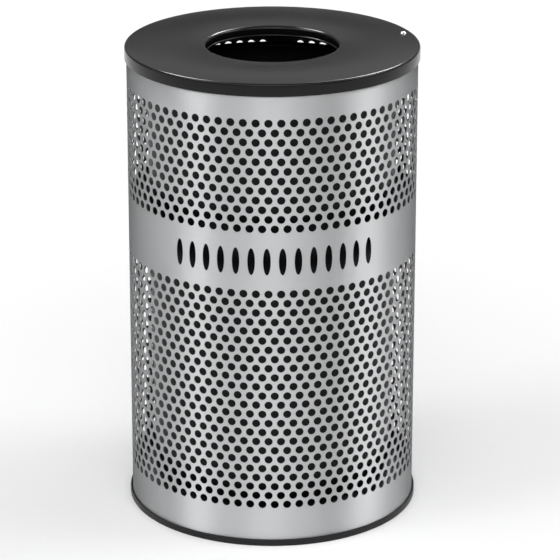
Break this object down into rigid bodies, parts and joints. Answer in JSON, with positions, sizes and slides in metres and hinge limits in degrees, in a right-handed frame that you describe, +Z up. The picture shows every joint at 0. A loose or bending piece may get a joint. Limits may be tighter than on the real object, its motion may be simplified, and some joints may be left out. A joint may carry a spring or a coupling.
{
  "type": "perforated trash can",
  "caption": "Round perforated steel trash can with a lift-off lid that has a round throat, a lift-out rigid liner and an edged base.",
  "frame": {"origin": "centre of the floor circle, on the floor under the base trim", "axes": "+Z up along the can's axis, the front faces -Y, the sheet's seam is at the back, one hole pitch from +Y towards +X"},
  "size_m": [0.516, 0.516, 0.841],
  "materials": {
    "stainless": "satin",
    "plain_steel": "satin",
    "trim_vinyl": "satin",
    "liner_plastic": "satin",
    "lid_paint": "satin",
    "rivet_metal": "satin"
  },
  "bodies": {
    "can": {"body_wrap": "stainless", "seam_strap": "plain_steel", "top_hoop": "plain_steel", "tether_eye": "plain_steel", "base_trim": "trim_vinyl", "base_pan": "plain_steel"},
    "liner": {"liner": "liner_plastic"},
    "lid": {"lid": "lid_paint", "lid_rivet": "rivet_metal", "tether_tab": "plain_steel"}
  },
  "joints": [
    {"name": "liner_lift", "type": "slide", "parent": "can", "child": "liner", "axis": [0, 0, 1], "range_m": [0, 0.82]},
    {"name": "lid_lift", "type": "slide", "parent": "liner", "child": "lid", "axis": [0, 0, 1], "range_m": [0, 0.2]}
  ]
}
